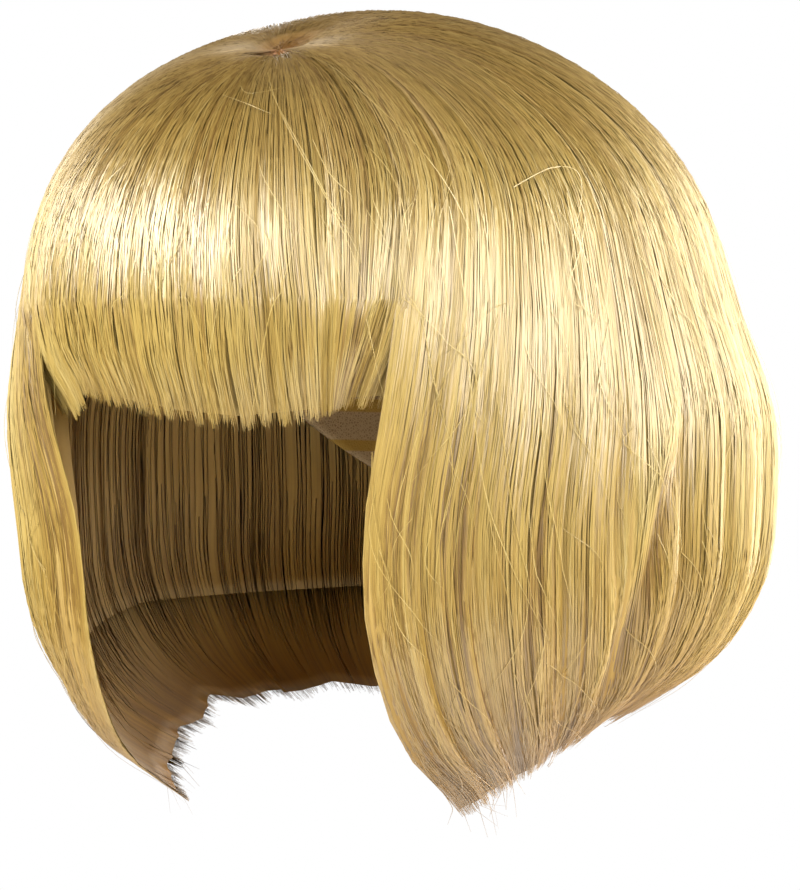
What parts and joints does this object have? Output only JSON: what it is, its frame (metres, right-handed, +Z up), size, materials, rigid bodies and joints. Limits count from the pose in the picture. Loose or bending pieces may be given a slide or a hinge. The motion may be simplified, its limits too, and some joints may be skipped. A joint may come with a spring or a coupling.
{
  "type": "bob wig",
  "caption": "Chin-length blonde bob wig with a full fringe over a close cap, hollow and held in its worn form.",
  "frame": {"origin": "the point inside the cap where the top of the head touches it", "axes": "+Z up out of the crown, -Y the way the face looks, +X the wearer's left"},
  "size_m": [0.21, 0.2238, 0.2162],
  "materials": {
    "hair": "glossy blonde fibre in fine strands",
    "under_hair": "satin golden fibre in fine strands",
    "cap_net": "matt stretch net with sewn rows",
    "skin_patch": "matt skin-coloured patch"
  },
  "bodies": {
    "root": {"cap": "cap_net", "crown_patch": "skin_patch", "under_hair": "under_hair", "fringe": "hair", "front_lock_left": "hair", "front_lock_right": "hair", "side_hair_left": "hair", "side_hair_right": "hair", "back_hair": "hair"}
  },
  "joints": []
}
